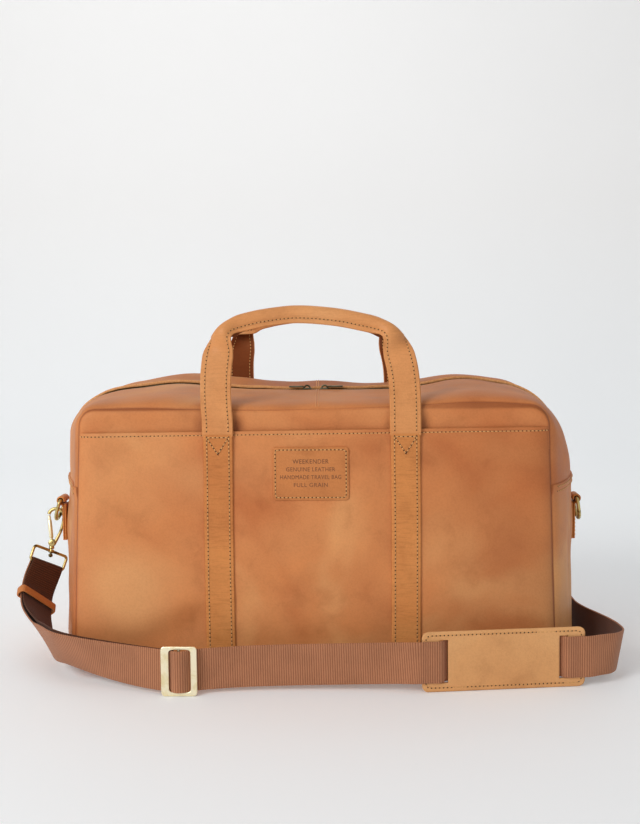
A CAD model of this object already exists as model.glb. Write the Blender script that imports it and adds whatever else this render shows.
"""Leather weekender bag: the looks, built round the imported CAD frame."""

import math

import bpy
import numpy as np
from mathutils import Matrix, Vector, noise


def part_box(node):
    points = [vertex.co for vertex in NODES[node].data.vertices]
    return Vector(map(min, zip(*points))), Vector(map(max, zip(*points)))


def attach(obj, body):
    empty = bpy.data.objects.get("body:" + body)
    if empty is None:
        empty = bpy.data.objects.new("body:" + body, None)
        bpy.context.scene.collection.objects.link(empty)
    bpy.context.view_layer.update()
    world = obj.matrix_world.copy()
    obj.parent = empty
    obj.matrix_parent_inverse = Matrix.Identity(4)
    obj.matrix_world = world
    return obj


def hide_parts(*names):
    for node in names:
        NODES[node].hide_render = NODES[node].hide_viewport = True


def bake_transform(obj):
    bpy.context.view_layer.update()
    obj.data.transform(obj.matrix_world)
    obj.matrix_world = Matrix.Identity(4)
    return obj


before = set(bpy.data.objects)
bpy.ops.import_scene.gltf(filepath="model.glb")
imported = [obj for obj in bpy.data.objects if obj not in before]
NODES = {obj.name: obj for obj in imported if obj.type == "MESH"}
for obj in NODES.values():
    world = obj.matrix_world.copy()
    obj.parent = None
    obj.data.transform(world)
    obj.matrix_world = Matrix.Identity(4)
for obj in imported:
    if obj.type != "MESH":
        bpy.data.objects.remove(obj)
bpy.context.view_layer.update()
MM = 0.001


# ------------------------------------------------------------------ small helpers
def arr(*a):
    return np.array(a, float)


def unit(a):
    a = np.asarray(a, float)
    return a / np.maximum(np.linalg.norm(a, axis=-1, keepdims=True), 1e-9)


def smoothstep(a, b, x):
    t = np.clip((np.asarray(x, float) - a) / (b - a), 0, 1)
    return t * t * (3 - 2 * t)


def bell(x, centre, width):
    return np.exp(-(((np.asarray(x, float) - centre) / width) ** 2))


def soft_noise(points, scale, seed=0.0):
    """Smooth noise from -1 to 1 at points in millimetres; scale is the size of its lumps."""
    flat = np.asarray(points, float).reshape(-1, 3) / scale + seed
    values = np.array([noise.noise(Vector(p)) for p in flat])
    return values.reshape(np.shape(points)[:-1])


def catmull(points, closed=False, steps=24):
    """A centripetal Catmull-Rom curve through the points, any number of columns."""
    p = np.asarray(points, float)
    if closed:
        p = np.vstack([p[-1], p, p[0], p[1]])
    else:
        p = np.vstack([2 * p[0] - p[1], p, 2 * p[-1] - p[-2]])
    out = []
    for i in range(len(p) - 3):
        a, b, c, d = p[i : i + 4]
        t0 = 0.0
        t1 = t0 + np.linalg.norm(b[:3] - a[:3]) ** 0.5
        t2 = t1 + np.linalg.norm(c[:3] - b[:3]) ** 0.5
        t3 = t2 + np.linalg.norm(d[:3] - c[:3]) ** 0.5
        t = np.linspace(t1, t2, steps, endpoint=False)[:, None]
        ab = (t1 - t) / (t1 - t0) * a + (t - t0) / (t1 - t0) * b
        bc = (t2 - t) / (t2 - t1) * b + (t - t1) / (t2 - t1) * c
        cd = (t3 - t) / (t3 - t2) * c + (t - t2) / (t3 - t2) * d
        abc = (t2 - t) / (t2 - t0) * ab + (t - t0) / (t2 - t0) * bc
        bcd = (t3 - t) / (t3 - t1) * bc + (t - t1) / (t3 - t1) * cd
        out.append((t2 - t) / (t2 - t1) * abc + (t - t1) / (t2 - t1) * bcd)
    if not closed:
        out.append(p[-2][None])
    return np.vstack(out)


def lengths(path):
    return np.concatenate([[0], np.cumsum(np.linalg.norm(np.diff(path[:, :3], axis=0), axis=1))])


def resample(path, spacing):
    """The path again at equal steps close to spacing; extra columns go along."""
    s = lengths(path)
    n = max(2, int(round(s[-1] / spacing)) + 1)
    at = np.linspace(0, s[-1], n)
    return np.stack([np.interp(at, s, path[:, c]) for c in range(path.shape[1])], 1)


def tangents(path, closed=False):
    if closed:
        return unit(np.roll(path, -1, 0) - np.roll(path, 1, 0))
    return unit(np.gradient(path, axis=0))


def grid_faces(n, m, wrap_n=False, wrap_m=False):
    i, j = np.meshgrid(np.arange(n if wrap_n else n - 1), np.arange(m if wrap_m else m - 1), indexing="ij")
    i2, j2 = (i + 1) % n, (j + 1) % m
    return np.stack([i * m + j, i * m + j2, i2 * m + j2, i2 * m + j], -1).reshape(-1, 4)


def merged(parts):
    """Several (points, faces) as one."""
    points, faces, base = [], [], 0
    for p, f in parts:
        p = np.asarray(p, float).reshape(-1, 3)
        points.append(p)
        faces.extend([[base + k for k in face] for face in (f.tolist() if hasattr(f, "tolist") else f)])
        base += len(p)
    return np.vstack(points), faces


def tube(rings, closed=False):
    """A closed skin through rings of points, capped at its ends."""
    rings = np.asarray(rings, float)
    n, k = rings.shape[:2]
    faces = grid_faces(n, k, wrap_n=closed, wrap_m=True).tolist()
    if not closed:
        faces.append(list(range(k - 1, -1, -1)))
        faces.append([(n - 1) * k + q for q in range(k)])
    return rings.reshape(-1, 3), faces


def wire(path, radius, normal, closed=False, k=16):
    """A round wire along a path; radius may change along it."""
    path = np.asarray(path, float)
    t = tangents(path, closed)
    side = unit(np.cross(t, np.asarray(normal, float)))
    up = np.cross(side, t)
    r = np.broadcast_to(np.asarray(radius, float), (len(path),))[:, None, None]
    a = np.arange(k) * 2 * math.pi / k
    ring = side[:, None] * np.cos(a)[None, :, None] + up[:, None] * np.sin(a)[None, :, None]
    return tube(path[:, None] + r * ring, closed)


def lathe(profile, origin, axis, k=28):
    """A turned solid: profile rows are (distance along axis, radius)."""
    axis = unit(axis)
    side = unit(np.cross(axis, arr(0.3, 0.9, 0.2)))
    up = np.cross(axis, side)
    a = np.arange(k) * 2 * math.pi / k
    ring = side * np.cos(a)[:, None] + up * np.sin(a)[:, None]
    return tube([np.asarray(origin) + axis * d + ring * max(r, 0.01) for d, r in profile])


def rounded(w, h, r, n=8, centre=(0, 0)):
    """A rounded rectangle as points, going round once."""
    out = []
    for q, (sx, sy) in enumerate([(1, 1), (-1, 1), (-1, -1), (1, -1)]):
        for a in np.radians(np.linspace(90 * q, 90 * q + 90, n)):
            out.append([sx * (w / 2 - r) + r * math.cos(a), sy * (h / 2 - r) + r * math.sin(a)])
    return np.array(out) + np.asarray(centre)


def strip_section(width, thick, n=9):
    """The closed section of a flat strip with rounded edges: (across, out) pairs."""
    r = thick / 2
    x = np.linspace(-(width / 2 - r), width / 2 - r, n)
    end = np.radians(np.linspace(-60, 60, 5))
    right = np.stack([width / 2 - r + r * np.cos(end), r * np.sin(end)], 1)
    left = np.stack([-(width / 2 - r) - r * np.cos(end), -r * np.sin(end)], 1)
    bottom = np.stack([x, np.full(n, -r)], 1)
    top = np.stack([x[::-1], np.full(n, r)], 1)
    return np.vstack([bottom, right, top, left])


# ------------------------------------------------------------------ materials
def srgb(r, g, b):
    c = np.array([r, g, b], float) / 255
    lin = np.where(c <= 0.04045, c / 12.92, ((c + 0.055) / 1.055) ** 2.4)
    return (*lin.tolist(), 1.0)


class Nodes:
    """A few short words for building a material's nodes."""

    def __init__(self, name):
        self.material = bpy.data.materials.new(name)
        self.material.use_nodes = True
        self.tree = self.material.node_tree
        self.tree.nodes.clear()
        self.out = self.add("ShaderNodeOutputMaterial")
        self.bsdf = self.add("ShaderNodeBsdfPrincipled")
        self.link(self.bsdf.outputs[0], self.out.inputs[0])

    def add(self, kind, **settings):
        node = self.tree.nodes.new(kind)
        for key, value in settings.items():
            if key.startswith("_"):
                setattr(node, key[1:], value)
            else:
                node.inputs[key.replace("__", " ")].default_value = value
        return node

    def link(self, a, b):
        self.tree.links.new(a, b)
        return b.node

    def math(self, op, a, b=None):
        node = self.add("ShaderNodeMath", _operation=op)
        for k, v in enumerate((a, b)):
            if v is None:
                continue
            if isinstance(v, (int, float)):
                node.inputs[k].default_value = v
            else:
                self.link(v, node.inputs[k])
        return node.outputs[0]

    def coords(self, scale=(1, 1, 1), uv=False):
        tex = self.add("ShaderNodeTexCoord")
        mapping = self.add("ShaderNodeMapping")
        mapping.inputs["Scale"].default_value = scale
        self.link(tex.outputs["UV" if uv else "Object"], mapping.inputs["Vector"])
        return mapping.outputs[0]

    def noise(self, scale, detail=2.0, rough=0.5, at=None, distort=0.0):
        node = self.add("ShaderNodeTexNoise", Scale=scale, Detail=detail, Roughness=rough, Distortion=distort)
        if at is not None:
            self.link(at, node.inputs["Vector"])
        return node.outputs["Fac"]

    def ramp(self, value, stops):
        node = self.add("ShaderNodeValToRGB")
        node.color_ramp.interpolation = "EASE"
        while len(node.color_ramp.elements) < len(stops):
            node.color_ramp.elements.new(0.5)
        for element, (at, colour) in zip(node.color_ramp.elements, stops):
            element.position = at
            element.color = colour if len(colour) == 4 else (*colour, 1)
        self.link(value, node.inputs["Fac"])
        return node.outputs["Color"]

    def span(self, value, low, high, to_low, to_high):
        node = self.add("ShaderNodeMapRange")
        self.link(value, node.inputs["Value"])
        for key, v in (("From Min", low), ("From Max", high), ("To Min", to_low), ("To Max", to_high)):
            node.inputs[key].default_value = v
        return node.outputs["Result"]

    def mix(self, a, b, fac, blend="MIX"):
        node = self.add("ShaderNodeMix", _data_type="RGBA", _blend_type=blend)
        for k, v in ((0, fac), (6, a), (7, b)):
            if isinstance(v, (int, float, tuple)):
                node.inputs[k].default_value = v
            else:
                self.link(v, node.inputs[k])
        return node.outputs[2]

    def bump(self, height, distance, strength=1.0, normal=None):
        node = self.add("ShaderNodeBump", Strength=strength, Distance=distance)
        self.link(height, node.inputs["Height"])
        if normal is not None:
            self.link(normal, node.inputs["Normal"])
        return node.outputs["Normal"]


def leather(name, light, base, dark, rough, streak=0.0, mottle=1.0, toned=False):
    n = Nodes(name)
    at = n.coords()
    broad = n.noise(6.5, 3, 0.55, at, 0.6)
    middle = n.noise(34, 5, 0.6, at, 0.3)
    shade = n.ramp(broad, [(0.32, dark), (0.5, base), (0.68, light)])
    shade = n.mix(base, shade, mottle)
    warm = n.ramp(middle, [(0.3, (0.86, 0.83, 0.80)), (0.5, (1, 1, 1)), (0.72, (1.07, 1.07, 1.06))])
    colour = n.mix(shade, warm, 0.8, "MULTIPLY")
    if toned:
        tone = n.add("ShaderNodeAttribute", _attribute_name="tone").outputs["Fac"]
        darker = n.mix(colour, srgb(150, 82, 42), n.span(tone, 0, -1, 0, 0.9))
        colour = n.mix(darker, srgb(222, 160, 104), n.span(tone, 0, 1, 0, 0.8))
    fibre = n.noise(520, 3, 0.6, at)
    colour = n.mix(colour, n.ramp(fibre, [(0.35, (0.9, 0.88, 0.86)), (0.6, (1, 1, 1))]), 0.5, "MULTIPLY")
    if streak:
        lines = n.noise(1, 4, 0.65, n.coords((60, 60, 620)), 0.8)
        bands = n.ramp(lines, [(0.35, (0.8, 0.76, 0.72)), (0.52, (1, 1, 1))])
        colour = n.mix(colour, bands, streak, "MULTIPLY")
    n.link(colour, n.bsdf.inputs["Base Color"])
    n.link(n.span(middle, 0.3, 0.7, rough - 0.06, rough + 0.08), n.bsdf.inputs["Roughness"])
    cells = n.add("ShaderNodeTexVoronoi", Scale=620)
    n.link(at, cells.inputs["Vector"])
    pores = n.math("ADD", cells.outputs["Distance"], n.math("MULTIPLY", fibre, 0.8))
    normal = n.bump(pores, 0.00025, 0.35)
    normal = n.bump(middle, 0.0016, 0.22, normal)
    if streak:
        normal = n.bump(lines, 0.0007, 0.4 * streak, normal)
    n.link(normal, n.bsdf.inputs["Normal"])
    n.bsdf.inputs["Specular IOR Level"].default_value = 0.24
    return n.material


RIB_PITCH, YARN_PITCH = 2.1, 1.15


def webbing(name, light, dark):
    """Ribbed woven webbing. U runs along it and V across it, in metres."""
    n = Nodes(name)
    uv = n.add("ShaderNodeTexCoord").outputs["UV"]
    parts = n.add("ShaderNodeSeparateXYZ")
    n.link(uv, parts.inputs[0])
    wobble = n.noise(300, 2, 0.5, uv)
    phase = n.math("MULTIPLY", parts.outputs[0], 2 * math.pi / (RIB_PITCH * MM))
    along = n.math("ADD", phase, n.math("MULTIPLY", wobble, 1.2))
    rib = n.math("ADD", n.math("MULTIPLY", n.math("SINE", along), 0.5), 0.5)
    across = n.math("MULTIPLY", parts.outputs[1], 2 * math.pi / (YARN_PITCH * MM))
    yarn = n.math("ADD", n.math("MULTIPLY", n.math("SINE", across), 0.5), 0.5)
    cloud = n.noise(40, 3, 0.6, n.coords())
    colour = n.ramp(rib, [(0.02, dark), (0.62, light)])
    colour = n.mix(colour, n.ramp(yarn, [(0.1, (0.84, 0.82, 0.8)), (0.7, (1, 1, 1))]), 0.6, "MULTIPLY")
    patches = n.ramp(cloud, [(0.3, (0.88, 0.87, 0.86)), (0.7, (1.05, 1.05, 1.05))])
    colour = n.mix(colour, patches, 0.8, "MULTIPLY")
    n.link(colour, n.bsdf.inputs["Base Color"])
    n.link(n.span(cloud, 0.3, 0.7, 0.8, 0.92), n.bsdf.inputs["Roughness"])
    height = n.math("ADD", rib, n.math("MULTIPLY", yarn, 0.35))
    n.link(n.bump(height, 0.00035, 0.7), n.bsdf.inputs["Normal"])
    n.bsdf.inputs["Specular IOR Level"].default_value = 0.2
    n.bsdf.inputs["Sheen Weight"].default_value = 0.12
    return n.material


def metal(name, light, dark, rough=0.28, worn=0.5, brushed=(0, 0, 0)):
    n = Nodes(name)
    at = n.coords()
    cloud = n.noise(90, 4, 0.6, at, 0.4)
    colour = n.ramp(cloud, [(0.3, dark), (0.3 + 0.4 * worn, light)])
    ao = n.add("ShaderNodeAmbientOcclusion", Distance=0.004)
    ao.samples = 4
    colour = n.mix(dark, colour, n.span(ao.outputs["AO"], 0.25, 0.85, 0.0, 1.0))
    n.link(colour, n.bsdf.inputs["Base Color"])
    n.link(n.span(cloud, 0.3, 0.7, rough + 0.1, rough - 0.05), n.bsdf.inputs["Roughness"])
    if any(brushed):
        lines = n.noise(1, 3, 0.6, n.coords(brushed))
        n.link(n.bump(lines, 0.0002, 0.35), n.bsdf.inputs["Normal"])
    else:
        n.link(n.bump(cloud, 0.0004, 0.15), n.bsdf.inputs["Normal"])
    n.bsdf.inputs["Metallic"].default_value = 1.0
    return n.material


def plain(name, light, dark, rough, scale):
    n = Nodes(name)
    speck = n.noise(scale, 3, 0.6, n.coords())
    n.link(n.ramp(speck, [(0.3, dark), (0.7, light)]), n.bsdf.inputs["Base Color"])
    n.link(n.span(speck, 0.3, 0.7, rough - 0.05, rough + 0.05), n.bsdf.inputs["Roughness"])
    n.link(n.bump(speck, 0.0002, 0.4), n.bsdf.inputs["Normal"])
    return n.material


TAN = leather("tan_leather", srgb(220, 156, 99), srgb(207, 132, 78), srgb(192, 112, 62), 0.55, toned=True)
STRAP_TAN = leather("strap_leather", srgb(220, 152, 88), srgb(208, 134, 72), srgb(192, 116, 60), 0.5,
                    streak=0.6, mottle=0.7)
LABEL_TAN = leather("label_leather", srgb(210, 142, 84), srgb(197, 124, 69), srgb(180, 107, 56), 0.5,
                    streak=0.2, mottle=0.6)
HANDLE_TAN = leather("handle_leather", srgb(226, 164, 108), srgb(213, 144, 87), srgb(196, 122, 67), 0.44,
                     streak=0.35, mottle=0.7)
PAD_TAN = leather("pad_leather", srgb(226, 172, 116), srgb(216, 158, 103), srgb(202, 142, 90), 0.6,
                  mottle=0.6)
FLESH = leather("leather_reverse", srgb(140, 76, 36), srgb(122, 63, 28), srgb(104, 52, 23), 0.7, streak=0.3)
WEB = webbing("webbing", srgb(185, 127, 93), srgb(146, 92, 64))
WEB_INNER = webbing("webbing_inner", srgb(98, 56, 33), srgb(70, 37, 21))
BRASS = metal("antique_brass", srgb(206, 184, 122), srgb(62, 44, 28), 0.3, 0.45)
PALE_BRASS = metal("pale_brass", srgb(255, 246, 214), srgb(240, 226, 180), 0.42, 0.6, (900, 60, 40))
ZIP_METAL = metal("zip_metal", srgb(120, 118, 92), srgb(44, 38, 28), 0.4, 0.7)
THREAD = plain("thread", srgb(222, 170, 108), srgb(196, 142, 82), 0.75, 900)
HOLE = plain("stitch_hole", srgb(88, 52, 26), srgb(60, 34, 17), 0.9, 900)
TAPE = plain("zip_tape", srgb(92, 72, 52), srgb(66, 50, 36), 0.9, 900)
LINING = plain("lining_cloth", srgb(124, 106, 86), srgb(100, 84, 68), 0.92, 700)
BOARD = plain("base_board", srgb(84, 72, 62), srgb(64, 54, 46), 0.85, 200)
CORD = plain("handle_cord", srgb(176, 156, 128), srgb(140, 120, 96), 0.9, 500)
EDGE = plain("raw_edge", srgb(238, 174, 112), srgb(214, 142, 82), 0.7, 500)
PRINT = plain("pressed_mark", srgb(124, 72, 38), srgb(100, 56, 28), 0.6, 600)


def piece(name, points, faces, material, body="root", replaces=None, uv=None, tone=None, angle=38):
    """A mesh piece from points in millimetres. Its slot has the material's name, or the one in SLOTS."""
    mesh = bpy.data.meshes.new(name)
    faces = faces.tolist() if hasattr(faces, "tolist") else faces
    mesh.from_pydata((np.asarray(points, float).reshape(-1, 3) * MM).tolist(), [], faces)
    if uv is not None:
        layer = mesh.uv_layers.new(name="UVMap")
        index = np.zeros(len(mesh.loops), int)
        mesh.loops.foreach_get("vertex_index", index)
        layer.data.foreach_set("uv", (np.asarray(uv, float).reshape(-1, 2)[index] * MM).ravel())
    if tone is not None:
        values = np.asarray(tone, np.float32).ravel()
        mesh.attributes.new("tone", "FLOAT", "POINT").data.foreach_set("value", values)
    mesh.validate()
    mesh.shade_smooth()
    mesh.set_sharp_from_angle(angle=math.radians(angle))
    mesh.materials.append(material)
    obj = bpy.data.objects.new(name, mesh)
    bpy.context.scene.collection.objects.link(obj)
    if isinstance(body, str):
        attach(obj, body)
    if replaces:
        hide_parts(replaces)
    return obj


def second_material(obj, material, chosen):
    """Gives the faces where chosen is true another material."""
    obj.data.materials.append(material)
    obj.data.polygons.foreach_set("material_index", np.asarray(chosen, np.int32))
    return obj


def thicken(obj, thickness, offset=-1.0):
    m = obj.modifiers.new("thickness", "SOLIDIFY")
    m.thickness = thickness * MM
    m.offset = offset
    m.use_quality_normals = True
    return obj


STITCH, THREAD_W, HOLE_R = 3.65, 0.95, 0.7
HOLE_RINGS = [(1, -0.25), (0.96, 0.1), (0.3, 0.12)]
THREAD_RINGS = [(-0.72, 0.3, -0.05), (-0.56, 0.85, 0.16), (-0.2, 1, 0.3),
                (0.2, 1, 0.3), (0.56, 0.85, 0.16), (0.72, 0.3, -0.05)]


class Stitching:
    """Collects rows of stitches for one body: thread between dark needle holes."""

    def __init__(self, name, body="root"):
        self.name, self.body = name, body
        self.threads, self.holes = [], []

    def row(self, path, normals, closed=False):
        path = np.asarray(path, float)
        normals = np.broadcast_to(np.asarray(normals, float), path.shape)
        line = resample(np.hstack([path, normals]), 0.4)
        s = lengths(line)
        count = max(1, int(round(s[-1] / STITCH)))
        at = np.linspace(0, s[-1], count + 1)
        p = np.stack([np.interp(at, s, line[:, c]) for c in range(6)], 1)
        nrm = unit(p[:, 3:])
        for i in range(count + (0 if closed else 1)):
            t = unit(p[min(i + 1, count), :3] - p[max(i - 1, 0), :3])
            side = unit(np.cross(t, nrm[i]))
            a = np.arange(8) * math.pi / 4
            disc = t * np.cos(a)[:, None] + side * np.sin(a)[:, None]
            c = p[i, :3]
            self.holes.append(tube([c + disc * HOLE_R * wide + nrm[i] * high for wide, high in HOLE_RINGS]))
        for i in range(count):
            a, b = p[i, :3], p[i + 1, :3]
            n0 = unit(nrm[i] + nrm[i + 1])
            t = unit(b - a)
            side = unit(np.cross(t, n0))
            gap = (np.linalg.norm(b - a)) * 0.5
            mid = (a + b) / 2
            q = np.arange(6)[:, None] * math.pi / 3
            round_thread = (side * np.cos(q) / 2 + n0 * np.sin(q) * 0.4) * THREAD_W
            rings = [mid + t * u * gap + n0 * high + round_thread * wide for u, wide, high in THREAD_RINGS]
            self.threads.append(tube(rings))

    def build(self, blend=None):
        made = []
        for kind, parts, material in (("thread", self.threads, THREAD), ("holes", self.holes, HOLE)):
            if not parts:
                continue
            points, faces = merged(parts)
            body = None if blend else self.body
            obj = piece(f"{self.name}_{kind}", points, faces, material, body, angle=60)
            if blend:
                blend(obj)
            made.append(obj)
        return made


# ------------------------------------------------------------------ camera
def make_camera():
    azimuth, down, roll = math.radians(1.95), math.radians(4.55), math.radians(-0.57)
    level = math.cos(down)
    forward = Vector((-math.sin(azimuth) * level, math.cos(azimuth) * level, -math.sin(down)))
    right = forward.cross(Vector((0, 0, 1))).normalized()
    up = right.cross(forward)
    x = right * math.cos(roll) + up * math.sin(roll)
    y = up * math.cos(roll) - right * math.sin(roll)
    data = bpy.data.cameras.new("photo_view")
    data.lens = 50
    data.sensor_width = 36
    data.clip_start, data.clip_end = 0.05, 30
    cam = bpy.data.objects.new("photo_view", data)
    m = Matrix((x, y, -forward)).transposed().to_4x4()
    m.translation = Vector((0.0435, -1.163, 0.333))
    cam.matrix_world = m
    bpy.context.scene.collection.objects.link(cam)
    bpy.context.scene.camera = cam


make_camera()

# ------------------------------------------------------------------ shoulder strap
WEB_W, WEB_T, WEB_STEP = 38, 1.6, 2.2
# rows: a point of the middle line in metres, then the direction across the webbing, upper to lower edge
STRAP_ROUTE = [
    (-0.2829, -0.0039, 0.0826, 0.61, 0.66, -0.44),
    (-0.2866, -0.0105, 0.07, 0.62, 0.65, -0.44),
    (-0.287, -0.024, 0.057, 0.58, 0.68, -0.44),
    (-0.2835, -0.042, 0.046, 0.48, 0.74, -0.46),
    (-0.275, -0.062, 0.0365, 0.28, 0.8, -0.52),
    (-0.265, -0.082, 0.03, 0.12, 0.72, -0.68),
    (-0.2545, -0.101, 0.0295, 0.04, 0.55, -0.83),
    (-0.24, -0.119, 0.03, 0.02, 0.52, -0.85),
    (-0.218, -0.1325, 0.0284, 0, 0.42, -0.91),
    (-0.19, -0.144, 0.0256, 0, 0.24, -0.97),
    (-0.163, -0.154, 0.0236, 0, 0.08, -1),
    (-0.142, -0.1615, 0.0227, 0, 0, -1),
    (-0.134, -0.1644, 0.0226, 0, 0, -1),
    (-0.1276, -0.1657, 0.0226, 0, 0, -1),
    (-0.1224, -0.171, 0.0226, 0, 0, -1),
    (-0.1185, -0.172, 0.0226, 0, 0, -1),
    (-0.1146, -0.171, 0.0226, 0, 0, -1),
    (-0.1078, -0.1657, 0.0226, 0, 0, -1),
    (-0.102, -0.1636, 0.0227, 0, 0, -1),
    (-0.088, -0.16, 0.0228, 0, 0, -1),
    (-0.06, -0.1555, 0.0232, 0, 0, -1),
    (-0.02, -0.153, 0.0238, 0, 0, -1),
    (0.03, -0.154, 0.025, 0, 0, -1),
    (0.075, -0.157, 0.0266, 0, 0, -1),
]
PAD_START, PAD_END = arr(0.098, -0.158, 0.0279) / MM, arr(0.2467, -0.1383, 0.0279) / MM
PAD_LENGTH, PAD_HEIGHT, PAD_THICK, SLOT_IN = 150, 55, 3, 20
PAD_ALONG = unit(PAD_END - PAD_START)
PAD_OUT = unit(np.cross(PAD_ALONG, arr(0, 0, 1)))
OVER = PAD_THICK / 2 + WEB_T / 2 + 0.4


def in_mm(route):
    return [(x / MM, y / MM, z / MM, *across) for x, y, z, *across in route]


def pad_row(along, out):
    return (*(PAD_START + PAD_ALONG * along + PAD_OUT * out), 0, 0, -1)


PAD_ROUTE = [
    pad_row(-3, OVER + 0.6),
    pad_row(5, OVER),
    pad_row(SLOT_IN - 2.4, OVER),
    pad_row(SLOT_IN + 2.4, -OVER),
    pad_row(SLOT_IN + 20, -OVER),
    pad_row(PAD_LENGTH / 2, -OVER),
    pad_row(PAD_LENGTH - SLOT_IN - 20, -OVER),
    pad_row(PAD_LENGTH - SLOT_IN - 2.4, -OVER),
    pad_row(PAD_LENGTH - SLOT_IN + 2.4, OVER),
    pad_row(PAD_LENGTH - 5, OVER),
    pad_row(PAD_LENGTH + 3, OVER + 0.6),
]
BACK_ROUTE = [
    (0.262, -0.1365, 0.0282, -0.05, 0, -1),
    (0.275, -0.129, 0.0278, -0.12, 0, -1),
    (0.2835, -0.114, 0.027, -0.18, 0, -1),
    (0.2855, -0.093, 0.026, -0.14, 0, -1),
    (0.284, -0.066, 0.0245, -0.06, 0, -1),
    (0.279, -0.038, 0.023, 0, 0, -1),
    (0.272, -0.012, 0.022, 0, 0, -1),
    (0.2675, 0.014, 0.0212, 0, 0, -1),
    (0.267, 0.045, 0.0206, 0, 0, -1),
    (0.264, 0.08, 0.0202, 0, 0, -1),
    (0.254, 0.115, 0.0196, 0.05, 0.08, -1),
    (0.235, 0.145, 0.0176, 0.25, 0.4, -0.9),
    (0.208, 0.167, 0.013, 0.45, 0.75, -0.62),
    (0.176, 0.18, 0.0072, 0.36, 0.95, -0.3),
    (0.142, 0.187, 0.0036, 0.2, 1, -0.06),
    (0.11, 0.1905, 0.0026, 0.1, 1, 0),
]


def web_rows(route, spacing):
    """Centres, directions across (upper to lower edge) and faces along a webbing route."""
    rows = resample(catmull(route), spacing)
    p = rows[:, :3]
    t = tangents(p)
    w = rows[:, 3:] - t * np.sum(rows[:, 3:] * t, 1, keepdims=True)
    w = unit(w)
    return p, t, w, unit(np.cross(t, w))


def web_mesh(p, w, face, width, thick):
    """Webbing with rounded selvedges; returns points, faces and coordinates along and across."""
    section = strip_section(width, thick)
    rings = p[:, None] + w[:, None] * section[None, :, :1] + face[:, None] * section[None, :, 1:]
    uv = np.zeros((*rings.shape[:2], 2))
    uv[..., 0] = lengths(p)[:, None]
    uv[..., 1] = section[None, :, 0]
    points, faces = tube(rings)
    return points, faces, uv


strap_p, strap_t, strap_w, strap_f = web_rows(in_mm(STRAP_ROUTE) + PAD_ROUTE + in_mm(BACK_ROUTE), WEB_STEP)
points, faces, uv = web_mesh(strap_p, strap_w, strap_f, WEB_W, WEB_T)
strap = piece("strap_webbing_outer", points, faces, WEB, replaces="strap_webbing", uv=uv)


def reverse_side(count, k, first, last):
    """Which faces of a tube of count rings of k points lie between two points of the section."""
    chosen = np.zeros((count - 1, k), bool)
    chosen[:, first:last] = True
    return np.concatenate([chosen.ravel(), [False, False]])


second_material(strap, WEB_INNER, reverse_side(len(strap_p), 28, 14, 22))

# the inner layer: round the left loop's bar, then beside the outer layer to the adjuster
LEFT_BAR = arr(-280.5, -6, 84.3)
LEFT_WIDE = unit(arr(0.61, 0.66, -0.44))
LEFT_DOWN = arr(-0.26, -0.36, -0.9)
LEFT_DOWN = unit(LEFT_DOWN - LEFT_WIDE * LEFT_DOWN.dot(LEFT_WIDE))
LEFT_FACE = unit(np.cross(LEFT_DOWN, LEFT_WIDE))
WRAP_R = 1.5 + 0.5 + WEB_T / 2


def return_rows():
    rows = []
    for d in (185, 160, 130, 100, 65, 30, 0):
        a = math.radians(d)
        p = LEFT_BAR + LEFT_FACE * WRAP_R * math.cos(a) - LEFT_DOWN * WRAP_R * math.sin(a)
        rows.append((*p, *LEFT_WIDE))
    stop = int(np.argmax(strap_p[:, 0] > -128))
    start = int(np.argmax(lengths(strap_p) > 22))
    for i in range(start, stop, 5):
        away = 2.5 + 1.6 * math.sin(math.pi * min(1, (i - start) / max(1, (stop - start) * 0.62)))
        rows.append((*(strap_p[i] + strap_f[i] * away), *strap_w[i]))
    rows.append((-124, -164.6, 22.6, 0, 0, -1))
    return rows


rp, rt, rw, rf = web_rows(return_rows(), 2.2)
points, faces, uv = web_mesh(rp, rw, rf, WEB_W - 0.4, WEB_T - 0.2)
inner_layer = piece("strap_webbing_inner", points, faces, WEB_INNER, replaces="strap_return", uv=uv)


# ------------------------------------------------------------------ body of the bag
GUSSET_Y = 112.6
ZIP_GAP = 6.2
FLAP = ZIP_GAP / GUSSET_Y
LEATHER = 1.9
SEAM_Z = 177
# an outline: its half widths at the base and at the top, its heights, and its corners' radii across and up
PANEL = {"left": (227.5, 217), "right": (226.5, 218.5), "z": (4, 254),
         "tl": (16, 17), "tr": (19, 19), "bl": (15, 15), "br": (18, 18)}
BACK = {**PANEL, "z": (4, 257.5)}
MID = {"left": (261, 250), "right": (258.5, 253.5), "z": (-3, 262.6),
       "tl": (60, 44), "tr": (64, 80), "bl": (24, 24), "br": (28, 28)}
SEAM_IN = 1.4
SEAM_Y = 111.2


def top_wave(o, x):
    """How the top edge rises and falls along the bag."""
    if o is MID:
        return 7 * bell(x, -140, 46) + 8.5 * bell(x, 150, 44)
    if o is BACK:
        return 2 * bell(x, -110, 70) + 1.5 * bell(x, 140, 60)
    return 4.6 * bell(x, 152, 58) - 1.6 * bell(x, -40, 60) + 1.0 * bell(x, -160, 30)


def half(o, side, z):
    low, high = o[side]
    return low + (high - low) * (z - o["z"][0]) / (o["z"][1] - o["z"][0])


def corner(o, key, a):
    """Points of one elliptical corner; a runs from the side (0) to the top or the base (1)."""
    side = "left" if key[1] == "l" else "right"
    rx, rz = o[key]
    s = -1 if side == "left" else 1
    top = key[0] == "t"
    zc = o["z"][1] - rz if top else o["z"][0] + rz
    x = s * (half(o, side, zc) - rx + rx * np.cos(a * math.pi / 2))
    z = zc + (1 if top else -1) * rz * np.sin(a * math.pi / 2)
    return np.stack([x, z], 1)


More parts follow.
